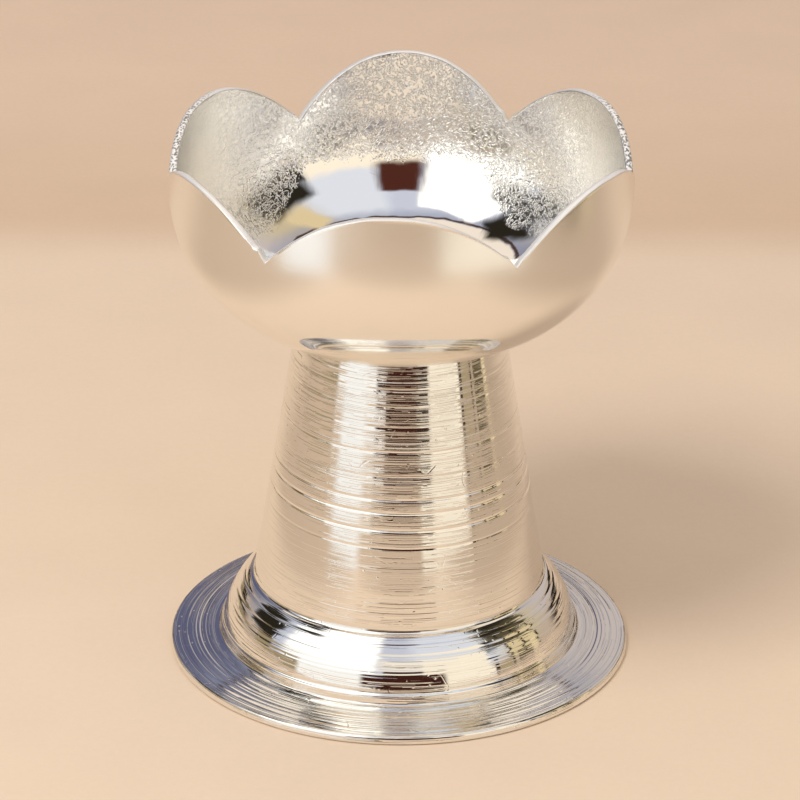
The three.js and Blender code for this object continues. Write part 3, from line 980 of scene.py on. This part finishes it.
zinc_steel, shader, tree = new_material("zinc_steel")
place = object_place(tree)
spangle = node(tree, "ShaderNodeTexVoronoi", Vector=place, Scale=1600.0).outputs["Color"]
spangle = node(tree, "ShaderNodeSeparateColor", Color=spangle).outputs[0]
dull = soft_step(tree, noise(tree, place, 380.0, 4.0), 0.4, 0.7)
zinc = blend_colours(tree, dull, zinc_colour, dull_zinc_colour)
pits = use_group(tree, specks, Scale=1500.0, Size=0.25, Share=0.15).outputs["Mask"]
skin = maths(tree, "MULTIPLY_ADD", spangle, 0.35, maths(tree, "MULTIPLY", dull, 0.65))
normal = raised(tree, skin, 0.008)
normal = raised(tree, pits, -0.01, 0.8, normal)
tree.links.new(zinc, shader.inputs["Base Color"])
tree.links.new(normal, shader.inputs["Normal"])
tree.links.new(maths(tree, "MULTIPLY_ADD", skin, 0.2, 0.25), shader.inputs["Roughness"])
shader.inputs["Metallic"].default_value = 1.0

washer.data.materials.append(zinc_steel)
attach(washer, "root")
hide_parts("washer")


# The hex nut is zinc-plated steel: a six-sided bar, turned to a chamfer at both ends and threaded
# through. It pulls the bowl down on the pedestal from inside the hollow.
nut_flat_radius = 3.5
nut_bore_radius = 2.15
nut_thread_depth = 0.3
nut_countersink = 0.4
nut_chamfer_slope = math.tan(math.radians(30))
nut_corner_power = 90
nut_columns = 144
nut_side_rows = 60
nut_face_rows = 6
nut_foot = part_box("hex_nut")[0].z / MM
nut_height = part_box("hex_nut")[1].z / MM - nut_foot


def hexagon_radius(angle):
    """Radius of a hexagon with a corner at angle 0: the flats' distance over the cosine of the angle
    to the nearest flat. The cosines are summed to a high power, which rounds the corners a little."""
    flats = np.radians(30 + 60 * np.arange(6))[:, None]
    nearness = np.maximum(0, np.cos(angle - flats))
    return nut_flat_radius / (nearness**nut_corner_power).sum(0) ** (1 / nut_corner_power)


def nut_outside(height, angle):
    """The least of the hexagon and of the two chamfer cones, which widen from the flats' distance
    at each end by the height over the chamfer's slope."""
    from_end = np.minimum(height, nut_height - height)
    return np.minimum(hexagon_radius(angle)[None, :], nut_flat_radius + from_end / nut_chamfer_slope)


nut_angle = full_turn(nut_columns)
side_rows = nut_height * (0.5 - 0.5 * np.cos(np.linspace(0, np.pi, nut_side_rows)))[:, None]
side_radius = nut_outside(side_rows, nut_angle)
bore_rows = np.arange(nut_height, -0.001, -stud_step)[:, None]
bore_end = np.minimum(bore_rows, nut_height - bore_rows)
groove = thread_groove(bore_rows + nut_foot, nut_angle, nut_thread_depth)
bore_radius = np.maximum(nut_bore_radius + groove, nut_bore_radius + nut_countersink - bore_end)
face_share = np.linspace(0, 1, nut_face_rows + 2)[1:-1, None]
top_radius = side_radius[-1] + face_share * (bore_radius[0] - side_radius[-1])
bottom_radius = bore_radius[-1] + face_share * (side_radius[0] - bore_radius[-1])
radius = np.concatenate([side_radius, top_radius, bore_radius, bottom_radius])
height = np.concatenate([side_rows, np.full((nut_face_rows, 1), nut_height), bore_rows,
                         np.zeros((nut_face_rows, 1))])
nut = surface("steel_nut", round_axis(radius, nut_angle, height + nut_foot), closed_section=True)

nut.data.materials.append(zinc_steel)
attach(nut, "root")
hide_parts("hex_nut")
